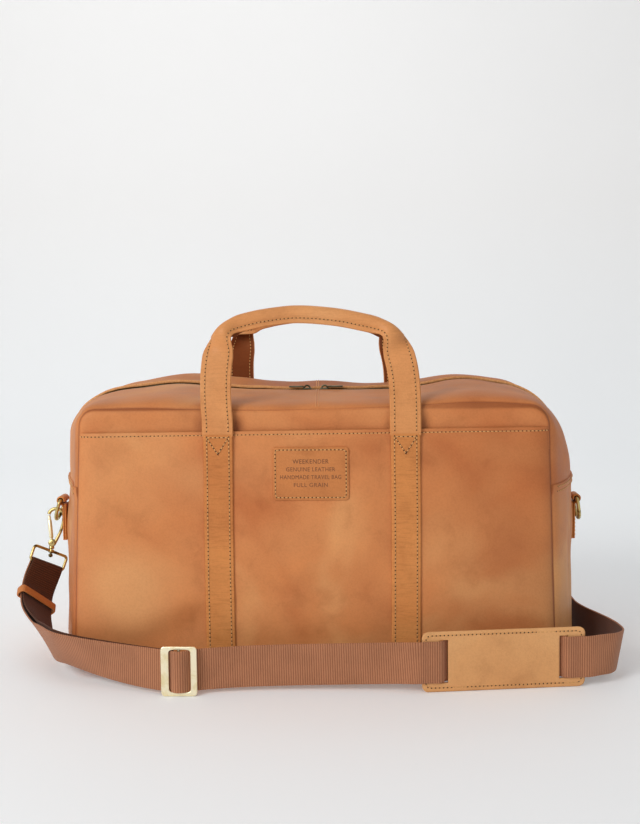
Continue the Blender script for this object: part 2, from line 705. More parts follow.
def lower_outline(o, z_top=SEAM_Z, n=(70, 16, 64)):
    parts = []
    for side, key, s in (("left", "bl", -1), ("right", "br", 1)):
        z = np.linspace(z_top, o["z"][0] + o[key][1], n[0])[:-1]
        edge = np.stack([s * half(o, side, z), z], 1)
        parts.append(np.vstack([edge, corner(o, key, np.linspace(0, 1, n[1]))]))
    x = np.linspace(parts[0][-1, 0], parts[1][-1, 0], n[2])[1:-1]
    base = np.stack([x, np.full_like(x, o["z"][0])], 1)
    return np.vstack([parts[0], base, parts[1][::-1]])


def upper_outline(o, z_bottom=SEAM_Z, n=(22, 24, 170)):
    parts = []
    for side, key, s in (("right", "tr", 1), ("left", "tl", -1)):
        z = np.linspace(z_bottom, o["z"][1] - o[key][1], n[0])[:-1]
        edge = np.stack([s * half(o, side, z), z], 1)
        parts.append(np.vstack([edge, corner(o, key, np.linspace(0, 1, n[1]))]))
    x = np.linspace(parts[0][-1, 0], parts[1][-1, 0], n[2])[1:-1]
    top = np.stack([x, np.full_like(x, o["z"][1])], 1)
    line = np.vstack([parts[0], top, parts[1][::-1]])
    weight = smoothstep(o["z"][1] - 45, o["z"][1] - 4, line[:, 1])
    line[:, 1] += top_wave(o, line[:, 0]) * weight
    return line


def outward(line):
    """The outward direction in X and Z along an outline."""
    t = unit(np.gradient(line, axis=0))
    n = np.stack([t[:, 1], -t[:, 0]], 1)
    centre = arr(0, 130)
    flip = np.sum(n * (line - centre), 1) < 0
    n[flip] *= -1
    return n


def gusset(outline, v):
    """Points of the gusset: rows along the outline, columns v from -1 at the front seam to 1 at the back."""
    front, back, mid = outline(PANEL), outline(BACK), outline(MID)
    front = front - outward(front) * SEAM_IN
    back = back - outward(back) * SEAM_IN
    v = np.asarray(v, float)
    seam = np.where(v[None, :, None] < 0, front[:, None], back[:, None])
    away = np.minimum(1, np.abs(v))
    straight = np.where(v < 0, np.maximum(0, 1 - np.sqrt(away ** 2 + 0.01)) / 0.9, (1 - away ** 2) ** 1.2)
    side = np.where(seam[..., 0] < 0, straight, 1 - away ** 2)
    side = 0.12 * (1 - away ** 30) + 0.88 * side
    crown = (1 - away ** 2) ** 0.55
    up = smoothstep(0.6, 0.97, outward(outline(PANEL))[:, 1])[:, None]
    full = side + (crown - side) * up
    line = seam + (mid[:, None] - seam) * full[..., None]
    x, z = line[..., 0], line[..., 1]
    y = np.broadcast_to(v * GUSSET_Y, x.shape).copy()
    if outline is upper_outline:
        top = smoothstep(BACK["z"][1] - 42, BACK["z"][1] - 2, seam[..., 1])
        ridge = 4 + 6.5 * bell(x, -112, 78) + 1.6 * bell(x, 2, 26) + 1.5 * bell(x, 150, 50)
        rear = bell(v, 0.62, 0.26)[None] * (1 - np.abs(v) ** 8)[None] * (v > 0)[None]
        z = z + ridge * top * rear
        z = z - 1.2 * top * bell(v, -0.55, 0.25)[None]
        shoulder = smoothstep(MID["z"][1] - 60, MID["z"][1] - 20, seam[..., 1])
        z = z + 1.7 * shoulder * (1 - np.abs(v) ** 40)[None]
    return np.stack([x, y, z], -1)


def shape_gusset(p, lower):
    """Soft unevenness of the gusset, and the small wrinkles beside its front seam."""
    x, y, z = p[..., 0], p[..., 1], p[..., 2]
    away = np.stack([x, np.zeros_like(x), z - 130], -1)
    if lower:
        away = np.stack([x, np.zeros_like(x), np.where(z < 30, -60, 0)], -1)
    away = unit(away)
    free = 1 - np.abs(y / GUSSET_Y) ** 6
    lumps = 1.3 * soft_noise(p, 62, 3.1) + 0.6 * soft_noise(p, 24, 7.7) - 0.8
    if lower:
        lumps = lumps + 1.6 * bell(y, -84, 13) * bell(z, 90, 60) * (x < 0)
        lumps = lumps - 1.5 * bell(y, -64, 9) * bell(z, 100, 70)
        crease = np.sin(z / 1.55 + 1.3 * np.sin(z / 9) + y / 5)
        lumps = lumps + 0.55 * crease * bell(y, -104, 7) * bell(z, 88, 34) * (x > 0)
        lumps = lumps + 0.35 * crease * bell(y, -106, 6) * bell(z, 60, 30) * (x < 0)
        lumps = lumps + 3.6 * bell(y, 0, 24) * bell(z, 130, 34)
        lumps = lumps * smoothstep(0, 22, z)
    q = p + away * (lumps * free)[..., None]
    q[..., 2] = np.maximum(q[..., 2], 0.15)
    return q


ANGLES = np.radians(np.linspace(-90, 90, 64))


def tuck(p, depth=5):
    """Adds a row at each seam that turns in between the panels."""
    centre = arr(0, 0, 130)
    rows = []
    for j, s in ((0, 1), (-1, 1)):
        edge = p[:, j]
        inward = unit((centre - edge) * arr(1, 0, 1))
        rows.append(edge + inward * depth)
    return np.concatenate([rows[0][:, None], p, rows[1][:, None]], 1)


CREASE = arr(1.6, 1.6, 1.0, 0.4)


def tone_of(p, seed=0.0):
    return 0.35 * soft_noise(p, 90, seed) + 0.2 * soft_noise(p, 38, seed + 4)


def seam_tone(o, p, reach=0.9):
    """Darkens a panel close to its own edge, where the seam pulls it in."""
    d = np.maximum(edge_distance(o, p[..., 0], np.minimum(p[..., 2], o["z"][1])) - SEAM_IN, 0)
    return -1.4 * np.exp(-d / reach) * (1 - 0.8 * bell(p[..., 0], 20, 150) * smoothstep(236, 246, p[..., 2]))


lower_lap = 180.5
lower = gusset(lambda o: lower_outline(o, lower_lap), np.sin(ANGLES))
lower = shape_gusset(lower, True)
lap = smoothstep(168, 178, lower[..., 2])[..., None] * unit(lower * arr(1, 0, 0)) * 1.5
lower = lower + lap
lower_points = tuck(lower)
tone = tone_of(lower_points, 2.0) - 0.35 * smoothstep(40, 0, lower_points[..., 2])
tone[:, :4] -= CREASE
tone[:, -4:] -= CREASE[::-1]
bag_lower = piece("gusset_lower", lower_points, grid_faces(*lower_points.shape[:2]), TAN,
                  replaces="lower_gusset", tone=tone)
thicken(bag_lower, LEATHER)



def front_lip(x):
    """Between the handles the front half's edge stands a little higher and hides the teeth."""
    return -0.4 + 1.2 * bell(x, -6, 125) + 1.1 * smoothstep(70, 130, x)


def top_half(rear, v0, v1, columns):
    """Half of the top gusset, with its edge raised beside the zipper; also its columns' places."""
    v = np.sin(np.linspace(math.asin(v0), math.asin(v1), columns))
    p = shape_gusset(gusset(upper_outline, v), False)
    near = bell(np.abs(p[..., 1]), ZIP_GAP, 7)
    p[..., 2] += (3.4 if rear else front_lip(p[..., 0])) * near * smoothstep(180, 235, p[..., 2])
    return p, v


for half_name, v0, v1 in (("front", -1, -FLAP), ("rear", FLAP, 1)):
    rear = half_name == "rear"
    p, _ = top_half(rear, v0, v1, 34)
    edge = 0 if rear else -1
    turned = p[:, edge] + arr(0, -1.2 if rear else 1.2, -2.4)
    seam = p[:, -1 if rear else 0]
    inward = unit((arr(0, 0, 130) - seam) * arr(1, 0, 1))
    tucked = seam + inward * 5
    ends = (turned, tucked) if rear else (tucked, turned)
    p = np.concatenate([ends[0][:, None], p, ends[1][:, None]], 1)
    tone = tone_of(p, 5.0)
    if rear:
        tone -= 0.55 * bell(p[..., 0], -10, 120) * bell(p[..., 1], 50, 60)
        tone[:, -4:] -= CREASE[::-1]
    else:
        tone[:, :4] -= CREASE * (1 - 0.8 * bell(p[:, :4, 0], 20, 150))
    node = f"top_gusset_{half_name}"
    top = piece(f"gusset_top_{half_name}", p, grid_faces(*p.shape[:2]), TAN, replaces=node, tone=tone)
    thicken(top, LEATHER)
    rows_n, cols = p.shape[:2]
    raw = np.zeros((rows_n - 1, cols - 1), bool)
    raw[:, 0 if rear else cols - 2] = True
    second_material(top, EDGE, raw.ravel())


def edge_distance(o, x, z):
    """How far a point of a panel lies inside the panel's outline."""
    side = np.where(x < 0, half(o, "left", z), half(o, "right", z))
    r = np.where(z > 130, np.where(x < 0, o["tl"][0], o["tr"][0]), o["bl"][0])
    mid_z, half_z = (o["z"][0] + o["z"][1]) / 2, (o["z"][1] - o["z"][0]) / 2
    qx = np.abs(x) - (side - r)
    qz = np.abs(z - mid_z) - (half_z - r)
    out = np.hypot(np.maximum(qx, 0), np.maximum(qz, 0)) + np.minimum(np.maximum(qx, qz), 0) - r
    return -out


def panel_rows(o, z_low, z_high, nx, nz, grow=-SEAM_IN):
    """A grid over a panel whose rows reach its outline; z_high may depend on x."""
    v = np.linspace(0, 1, nz)
    v = (1 - np.cos(v * math.pi)) / 2 * 0.6 + v * 0.4
    z = z_low + (z_high - z_low) * v
    left, right = [], []
    for key, side, store in ((("tl", "bl"), "left", left), (("tr", "br"), "right", right)):
        for h in z:
            w = half(o, side, h)
            for k, c in ((key[0], o["z"][1] - o[key[0]][1]), (key[1], o["z"][0] + o[key[1]][1])):
                rx, rz = o[k]
                over = (h - c) if k[0] == "t" else (c - h)
                if over > 0:
                    w = half(o, side, c) - rx + rx * math.sqrt(max(0, 1 - min(1, over / rz) ** 2))
            store.append(w + grow)
    u = np.linspace(0, 1, nx)
    u = (1 - np.cos(u * math.pi)) / 2 * 0.5 + u * 0.5
    x = -np.array(left)[:, None] + (np.array(left) + np.array(right))[:, None] * u[None]
    return x, np.broadcast_to(z[:, None], x.shape).copy()


def front_dents(x, z):
    """The soft hollows and swells of the big front face, outwards positive."""
    swell = 1.2 * bell(x, -10, 150) * bell(z, 120, 90)
    swell = swell + 2.8 * bell(x + 0.25 * (z - 80), -168, 42) * bell(z, 92, 48)
    fold = (z - 62) - 0.42 * (x + 112)
    swell = swell - 3.6 * bell(fold, -8, 15) * bell(x, -118, 56)
    swell = swell + 1.2 * bell(fold, 16, 12) * bell(x, -118, 50)
    swell = swell + 1.6 * bell(x, 180, 42) * bell(z, 150, 60) - 1.3 * bell(x, 150, 40) * bell(z, 70, 34)
    swell = swell + 1.1 * bell(x, -120, 34) * bell(z, 185, 26) - 0.9 * bell(x, -160, 30) * bell(z, 200, 22)
    p = np.stack([x, np.zeros_like(x), z], -1)
    swell = swell + 1.1 * soft_noise(p, 75, 11.3) + 0.45 * soft_noise(p, 30, 5.9)
    under_label = (1 - smoothstep(32, 52, np.abs(x + 1))) * (1 - smoothstep(22, 36, np.abs(z - 193.5)))
    return swell * (1 - under_label)


def pocket_y(x, z):
    x, z = np.asarray(x, float), np.asarray(z, float)
    d = np.maximum(edge_distance(PANEL, x, z), 0)
    inside = 1 - np.exp(-d / 7)
    calm = smoothstep(0, 30, d)
    straps = 1 - 0.85 * (bell(np.abs(x), 86, 17))
    return -(SEAM_Y + 10.6 * inside + 0.75 * front_dents(x, z) * calm * straps)


def pocket_top(x):
    return 233.2 + 1.7 * np.asarray(x, float) / 218


def strip_y(x, z):
    d = np.maximum(edge_distance(PANEL, x, z), 0)
    p = np.stack([x, np.zeros_like(x), z], -1)
    swell = 1.5 * soft_noise(p, 60, 21.0) * smoothstep(0, 20, d)
    return -(SEAM_Y + 4.6 * (1 - np.exp(-d / 2.0)) + swell)


def warp_top(x, z, o=PANEL):
    return z + top_wave(o, x) * smoothstep(o["z"][1] - 45, o["z"][1] - 4, z)


def strap_shade(p):
    """The darker leather beside the handles, where they keep the light away."""
    shades = ((1.1, -69, 6), (0.7, 103, 5), (0.5, 70, 4), (0.4, -103, 5))
    return sum(k * bell(p[..., 0], x, wide) for k, x, wide in shades) * bell(p[..., 2], 238, 9)


# front panel above the pocket
x, z = panel_rows(PANEL, 214, 252.6, 210, 34)
p = np.stack([x, strip_y(x, z), warp_top(x, z)], -1)
rim = p[-1] + arr(0, 3.5, 0)
p = np.concatenate([p, rim[None]], 0)
front = piece("panel_front", p, grid_faces(*p.shape[:2]), TAN, replaces="front_panel",
              tone=tone_of(p, 8.0) + 0.25 * bell(p[..., 0], 120, 60) + seam_tone(PANEL, p) - strap_shade(p))
thicken(front, LEATHER)

# slip pocket
x, v = panel_rows(PANEL, 5.4, 232, 300, 150)
z = np.minimum(v, 232) + (pocket_top(x) - 232) * smoothstep(190, 232, v)
y = pocket_y(x, z)
lip = smoothstep(226, 233, z)
y = y + 1.6 * lip * smoothstep(0, 40, edge_distance(PANEL, x, np.minimum(z, 215)))
p = np.stack([x, y, z], -1)
tuck_low = p[0] + arr(0, 4, 0)
p = np.concatenate([tuck_low[None], p], 0)
tone = tone_of(p, 14.0) + seam_tone(PANEL, p) + 0.2 * smoothstep(-90, -190, p[..., 0])
for strength, at_x, wide, at_z, high in (  # the lighter and darker patches of the leather
    (1.15, -168, 44, 84, 40),
    (0.45, -120, 60, 190, 26),
    (0.1, 185, 30, 190, 24),
    (0.2, 120, 50, 96, 30),
    (-0.75, 175, 66, 100, 90),
):
    tone = tone + strength * bell(p[..., 0], at_x, wide) * bell(p[..., 2], at_z, high)
fold = (p[..., 2] - 62) - 0.42 * (p[..., 0] + 112)
tone = tone - 0.08 * bell(fold, -4, 16) * bell(p[..., 0], -110, 60)
pocket = piece("pocket_front", p, grid_faces(*p.shape[:2]), TAN, replaces="front_pocket", tone=tone)
thicken(pocket, 2.0)


# back panel
def back_y(x, z):
    d = np.maximum(edge_distance(BACK, x, z), 0)
    p = np.stack([x, np.zeros_like(x), z], -1)
    calm = smoothstep(0, 30, d) * (1 - 0.85 * bell(np.abs(x), 86, 17))
    lumps = 0.9 * soft_noise(p, 80, 31.0) + 0.4 * soft_noise(p, 30, 37.0)
    return SEAM_Y + 3.7 * (1 - np.exp(-d / 5)) + lumps * calm


x, z = panel_rows(BACK, 5.4, 256.1, 230, 130)
p = np.stack([x, back_y(x, z), warp_top(x, z, BACK)], -1)
p = np.concatenate([p[:1] - arr(0, 3.5, 0), p, p[-1:] - arr(0, 3.5, 0)], 0)
back = piece("panel_back", p, grid_faces(*p.shape[:2])[:, ::-1], TAN, replaces="back_panel",
             tone=tone_of(p, 17.0) + seam_tone(BACK, p))
thicken(back, LEATHER)

# lining: a cloth cup just inside the leather
inside = gusset(lower_outline, np.sin(ANGLES[3:-3:3]))
away = unit((inside - arr(0, 0, 130)) * arr(1, 0, 1))
inside = inside - away * 5
inside[..., 2] = np.maximum(inside[..., 2], 6.2)
parts = [(inside, grid_faces(*inside.shape[:2]))]
for s, o in ((-1, PANEL), (1, BACK)):
    x, z = panel_rows(o, 8, 226, 60, 40, grow=-6)
    parts.append((np.stack([x, np.full_like(x, s * 108), z], -1), grid_faces(*x.shape)))
points, faces = merged(parts)
lining = piece("lining_cup", points, faces, LINING, replaces="lining")
thicken(lining, 0.8, 0)

# ------------------------------------------------------------------ stitching on the body
sewn = Stitching("body_stitches")
xs = np.linspace(-216, 216.5, 200)
zs = pocket_top(xs) - 3.4
near_rim = smoothstep(226, 233, zs)
ys = pocket_y(xs, zs) + 1.6 * near_rim * smoothstep(0, 40, edge_distance(PANEL, xs, np.full_like(xs, 215)))
sewn.row(np.stack([xs, ys, zs], 1), (0, -1, 0))


def gusset_line(z, y0, y1, side, n=90):
    """A line across the side gusset at height z, with its outward directions."""
    half_n = lower.shape[0] // 2
    rows = lower[:half_n] if side < 0 else lower[half_n:][::-1]
    out = []
    for j in range(lower.shape[1]):
        column = rows[:, j]
        order = np.argsort(column[:, 2])
        out.append([np.interp(z, column[order, 2], column[order, 0]), column[0, 1], z])
    out = np.array(out)
    ys_ = np.linspace(y0, y1, n)
    order = np.argsort(out[:, 1])
    line = np.stack([np.interp(ys_, out[order, 1], out[order, 0]), ys_, np.full(n, z)], 1)
    t = tangents(line)
    normal = unit(np.cross(t, arr(0, 0, 1)))
    normal *= np.sign(normal[:, :1]) * side
    return line, normal


for side in (-1, 1):
    for h in (178.2, 173.8):
        line, normal = gusset_line(h, -107, 107, side)
        sewn.row(line, normal)
sewn.build()

# ------------------------------------------------------------------ straps down the front and the back
STRAP_W, STRAP_T = 27, 2.2
STITCH_IN = 3.4
HANDLE_X, HANDLE_Z, HANDLE_TOP = 86, 231, 340
# outward direction, face under the handle, height from which it leans in, lean at the top, rise of its top
HANDLES = {"front": (-1, 122.5, HANDLE_Z, 20, 0), "rear": (1, 115, 264, 14, 0.6)}
HINGE_OUT = 1.4


def patch_y(side, x, z):
    if side == "front":
        return pocket_y(np.full_like(z, x), z) - 0.2
    return back_y(np.full_like(z, x), z) + 0.2


strap_sewn = Stitching("strap_stitches")
for side, (s, under, *_) in HANDLES.items():
    top = HANDLE_Z - 1
    out = arr(0, s, 0)
    for hand, x in (("left", -HANDLE_X), ("right", HANDLE_X)):
        z = np.concatenate([np.linspace(6.4, 12, 8), np.linspace(12, top - 2, 110)[1:], [top + 0.2]])
        section = strip_section(STRAP_W, STRAP_T)
        y = patch_y(side, x, np.maximum(z, 16)) + s * (STRAP_T / 2)
        y = y - s * 3.4 * (1 - smoothstep(5, 16, z))
        y = y + (s * (under + HINGE_OUT) - y) * smoothstep(196, 228, z)
        centre = np.stack([x + 0.25 * np.sin(z / 40 + x), y, z], 1)
        rings = centre[:, None] + arr(1, 0, 0) * section[None, :, :1] + out * section[None, :, 1:]
        points, faces = tube(rings)
        piece(f"strap_{side}_{hand}", points, faces, STRAP_TAN, replaces=f"{side}_patch_{hand}")
        for e in (-1, 1):
            line = centre + arr(1, 0, 0) * e * (STRAP_W / 2 - STITCH_IN) + out * STRAP_T / 2
            strap_sewn.row(line[3:-1], out)
        face_y = np.full(12, centre[-3, 1] + s * STRAP_T / 2)
        strap_sewn.row(np.stack([np.linspace(x - 10, x + 10, 12), face_y, np.full(12, top - 2.6)], 1), out)
        for e in (-1, 1):
            vee = np.stack([np.linspace(x + e * 9, x, 12), face_y, np.linspace(top - 4.2, top - 18, 12)], 1)
            strap_sewn.row(vee[:-1] if e > 0 else vee, out)
strap_sewn.build()

# ------------------------------------------------------------------ handles
HANDLE_ROUTE = [
    (-86, 231.8), (-86.2, 242), (-87.4, 256), (-88, 274), (-87.2, 292), (-84.5, 308), (-78.6, 321),
    (-69, 329.6), (-54, 334.2), (-35, 337.4), (-13, 339.2), (22, 336.4), (44, 332.2), (60, 327.8),
    (70.5, 320.6), (77.6, 309.5), (82.2, 296), (85, 280), (86, 260), (86, 243), (86, 231.8),
]
GRIP_H = 15.2


def handle_point(side, x, z):
    """A point of a handle's middle line, which leans in over the bag as it rises."""
    s, under, start, by, rise = HANDLES[side]
    lean = by * max(0, (z - start) / (HANDLE_TOP - start))
    return x, s * (under + 0.3 + STRAP_T / 2 - lean), z + rise * (z - HANDLE_Z) / 108


def handle_mesh(side):
    """The strap from one side of the handle to the other: flat legs, folded round a cord at the top."""
    s = HANDLES[side][0]
    ends = (-HANDLE_X, 228.5), (HANDLE_X, 228.5)
    line = resample(catmull([handle_point(side, x, z) for x, z in (ends[0], *HANDLE_ROUTE, ends[1])]), 1.5)
    t = tangents(line)
    n = len(line)
    u = np.linspace(0, 1, n)
    flat = arr(0, s, 0)
    out = unit(np.cross(t, flat))
    out *= np.sign(out[n // 2, 2])
    facing = unit(np.cross(out, t))
    facing *= np.sign(np.sum(facing * flat, 1, keepdims=True))
    fold = smoothstep(0.205, 0.31, u) * (1 - smoothstep(0.69, 0.795, u))
    bump = bell(u, 0.28, 0.026) + bell(u, 0.72, 0.026)
    k = 31
    w = np.linspace(-1, 1, k)

    def section_of(f, swing):
        """Half the strap's width on each side of the fold: up the front, over the cord and down the back."""
        pinch = bell(w, 0.68, 0.17) - bell(w, -0.68, 0.17)
        turn = math.pi * f * smoothstep(-0.62, 0.62, w) + f * swing * pinch
        step = STRAP_W / 2 * (w[1] - w[0])
        o = np.concatenate([[0], np.cumsum((np.cos(turn[1:]) + np.cos(turn[:-1])) / 2 * step)])
        b = -np.concatenate([[0], np.cumsum((np.sin(turn[1:]) + np.sin(turn[:-1])) / 2 * step)])
        return o, b

    low, top = 0.0, 2.2
    for _ in range(30):
        swing = (low + top) / 2
        b_end = section_of(1.0, swing)[1][-1]
        low, top = (swing, top) if b_end < -STRAP_T * 1.05 else (low, swing)
    rings, outer, directions = [], [], []
    for i in range(n):
        f = fold[i]
        o, b = section_of(f, swing)
        o -= o.min() + (o.max() - o.min()) / 2
        high = STRAP_W + (GRIP_H - STRAP_W) * f
        o *= (high - 0.6 * f) / max(1e-6, o.max() - o.min())
        b -= (b[0] + b[-1]) / 2 * f
        b = b + 0.5 * bump[i] * np.sin(u[i] * 230) * smoothstep(-0.2, 0.6, w)
        lift = 4.2 * bump[i] * ((1 - w) / 2) ** 3
        o = o + lift
        b = b + 2.6 * bump[i] * ((1 - w) / 2) ** 2
        curve = line[i] + out[i] * o[:, None] + facing[i] * b[:, None]
        d = tangents(np.stack([o, b], 1))
        nrm = out[i] * (-d[:, 1:2]) + facing[i] * d[:, :1]
        th = STRAP_T / 2
        a_side = curve + nrm * th
        b_side = curve - nrm * th
        lead = unit(curve[0] - curve[1]) * th * 0.75
        tail = unit(curve[-1] - curve[-2]) * th * 0.75
        rings.append(np.vstack([a_side, curve[-1:] + tail, b_side[::-1], curve[:1] + lead]))
        outer.append(a_side)
        directions.append(nrm)
    return np.array(rings), np.array(outer), np.array(directions)


CORD_ROUTE = [(-60, 331.4), (-45, 335.4), (-13, 339.1), (22, 335.9), (48, 330.9), (58, 327.4)]
for side, (s, under, *_) in HANDLES.items():
    hinge = f"{side}_handle"
    rings, skin, normals = handle_mesh(side)
    points, faces = tube(rings)
    handle = piece(f"handle_{side}", points, faces, HANDLE_TAN, None, hinge, angle=50)
    second_material(handle, FLESH, reverse_side(len(rings), rings.shape[1], 31, 62))
    y = s * (under + HINGE_OUT)

    def bend(obj, y=y, hinge=hinge):
        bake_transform(obj)

    bend(handle)
    hand_sewn = Stitching(f"handle_{side}_stitches")
    edge = int(round(STITCH_IN / STRAP_W * 30))
    for j in (edge, 30 - edge):
        hand_sewn.row(skin[3:-3, j], normals[3:-3, j])
        hand_sewn.row(skin[3:-3, j] - normals[3:-3, j] * STRAP_T, -normals[3:-3, j])
    hand_sewn.build(bend)
    cord = resample(catmull([(x, 0, z) for x, z in CORD_ROUTE]), 3)
    cord = arr(*[handle_point(side, x, z) for x, _, z in cord]) + arr(0, 0, 2.2)
    points, faces = wire(cord, 2.1, (0, 1, 0))
    piece(f"handle_{side}_cord", points, faces, CORD, hinge, f"{side}_handle_core")


# ------------------------------------------------------------------ label
def slab_mesh(outline, y_back, y_front, bevel=0.4, steps=3):
    """A flat plate in X and Z with rounded front edges; outline points are (x, z)."""
    rings = [np.stack([outline[:, 0], np.full(len(outline), y_back), outline[:, 1]], 1)]
    centre = outline.mean(0)
    t = tangents(outline, True)
    nrm = np.stack([t[:, 1], -t[:, 0]], 1)
    nrm *= np.sign(np.sum(nrm * (outline - centre), 1, keepdims=True))
    way = 1 if y_front > y_back else -1
    for a in np.linspace(0, math.pi / 2, steps + 1):
        shrink = bevel * (1 - math.cos(a))
        y = y_front - way * bevel * (1 - math.sin(a))
        q = outline - nrm * shrink
        rings.append(np.stack([q[:, 0], np.full(len(q), y), q[:, 1]], 1))
    return tube(rings)


LABEL_X, LABEL_Z = -1, 193.5


def on_pocket(points, out=0.0):
    """Moves points drawn on the plane y = 0 onto the pocket's face."""
    points = np.array(points, float)
    points[:, 1] += pocket_y(points[:, 0], points[:, 2]) - out
    return points


outline = rounded(70, 49, 3.2, 9, (LABEL_X, LABEL_Z))
points, faces = slab_mesh(outline, 0.6, -1.5, 0.5)
piece("label", on_pocket(points), faces, LABEL_TAN, replaces="label_patch")
label_sewn = Stitching("label_stitches")
outline = rounded(65, 44, 1.6, 6, (LABEL_X, LABEL_Z))
outline = np.vstack([outline, outline[:1]])
outline = resample(np.stack([outline[:, 0], np.zeros(len(outline)), outline[:, 1]], 1), 1.0)
label_sewn.row(on_pocket(outline, 1.5), (0, -1, 0), closed=True)
label_sewn.build()


def pressed_words(lines):
    """Generic words pressed into the label."""
    for i, (words, size, z, width) in enumerate(lines):
        curve = bpy.data.curves.new(f"words_{i}", "FONT")
        curve.body = words
        curve.size = size * MM
        curve.align_x = "CENTER"
        curve.align_y = "CENTER"
        curve.space_character = 1.1
        curve.extrude = 0.05 * MM
        curve.resolution_u = 3
        obj = bpy.data.objects.new(f"words_{i}", curve)
        bpy.context.scene.collection.objects.link(obj)
        upright = Matrix.Rotation(math.pi / 2, 4, "X")
        obj.matrix_world = Matrix.Translation((LABEL_X * MM, 0, z * MM)) @ upright
        bpy.context.view_layer.update()
        mesh = bpy.data.meshes.new_from_object(obj)
        mesh.transform(obj.matrix_world)
        co = np.array([v.co for v in mesh.vertices], float) / MM
        co[:, 0] = LABEL_X + (co[:, 0] - (co[:, 0].min() + co[:, 0].max()) / 2) * width / np.ptp(co[:, 0])
        mesh.vertices.foreach_set("co", (on_pocket(co, 1.55) * MM).astype(np.float32).ravel())
        bpy.data.objects.remove(obj)
        mesh.name = f"label_words_{i}"
        mesh.materials.clear()
        mesh.materials.append(PRINT)
        made = bpy.data.objects.new(f"label_words_{i}", mesh)
        bpy.context.scene.collection.objects.link(made)
        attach(made, "root")


pressed_words([("WEEKENDER", 5.8, 204.6, 33), ("GENUINE LEATHER", 5.4, 197.4, 45),
               ("HANDMADE TRAVEL BAG", 5.4, 190.2, 56), ("FULL GRAIN", 5.4, 183.0, 31)])

# ------------------------------------------------------------------ side tabs and rings
RING_HALF, RING_DROP = 12.5, 21.5
TAB_X, TAB_Z, TAB_W = 262.8, 152, 20
for side, s, lean in (("left", -1, 18), ("right", 1, 9)):
    a = np.radians(np.linspace(200, -70, 24))
    loop = np.stack([TAB_X + 3.5 * np.cos(a), TAB_Z + 3.5 * np.sin(a)], 1)
    inner_leg = np.stack([np.full(12, TAB_X - 4.4), np.linspace(TAB_Z - 41, TAB_Z - 3.5, 12)], 1)
    outer_leg = np.stack([np.full(12, TAB_X - 2.3), np.linspace(TAB_Z - 5.5, TAB_Z - 41, 12)], 1)
    for label, path in (("inner", inner_leg), ("outer", np.vstack([loop, outer_leg]))):
        path = resample(path, 1.2)
        t = tangents(path)
        nrm = np.stack([-t[:, 1], t[:, 0]], 1)
        section = strip_section(TAB_W, 1.8, 7)
        c = np.stack([s * path[:, 0], np.zeros(len(path)), path[:, 1]], 1)
        nn = np.stack([s * nrm[:, 0], np.zeros(len(path)), nrm[:, 1]], 1)
        rings = c[:, None] + arr(0, 1, 0) * section[None, :, :1] + nn[:, None] * section[None, :, 1:]
        points, faces = tube(rings)
        node = f"side_tab_{side}" if label == "outer" else None
        piece(f"tab_{side}_{label}", points, faces, STRAP_TAN, replaces=node)
    tab_sewn = Stitching(f"tab_{side}_stitches")
    zz = np.linspace(TAB_Z - 39, TAB_Z - 8, 20)
    for e in (-1, 1):
        tab_sewn.row(np.stack([np.full(20, s * (TAB_X - 1.42)), np.full(20, e * 7.2), zz], 1), (s, 0, 0))
    tab_sewn.build()
    down = arr(s * math.sin(math.radians(lean)), 0, -math.cos(math.radians(lean)))

    def at(y, d, top=arr(s * TAB_X, 0, TAB_Z), down=down):
        return top + arr(0, y, 0) + down * d

    path = [at(-RING_HALF + 3, 0), at(0, 0), at(RING_HALF - 3, 0), at(RING_HALF - 0.9, 0.9), at(RING_HALF, 3)]
    for q in np.linspace(0, math.pi, 17):
        path.append(at(RING_HALF * math.cos(q), 8 + (RING_DROP - 8) * math.sin(q)))
    path += [at(-RING_HALF, 3), at(-RING_HALF + 0.9, 0.9)]
    path = resample(np.vstack([catmull(path, closed=True), path[:1]]), 0.8)[:-1]
    points, faces = wire(path, 1.85, np.cross(down, arr(0, 1, 0)), closed=True)
    piece(f"ring_{side}_wire", points, faces, BRASS, f"ring_{side}", f"side_ring_{side}")


# ------------------------------------------------------------------ snap hooks and strap loops
def both_ends(half):
    """A turned profile that is the same at both ends, from its first half."""
    return half + [(-d, r) for d, r in reversed(half)]


def placed(points, origin, axes):
    points = np.asarray(points, float).reshape(-1, 3)
    return origin + points[:, :1] * axes[0] + points[:, 1:2] * axes[1] + points[:, 2:] * axes[2]


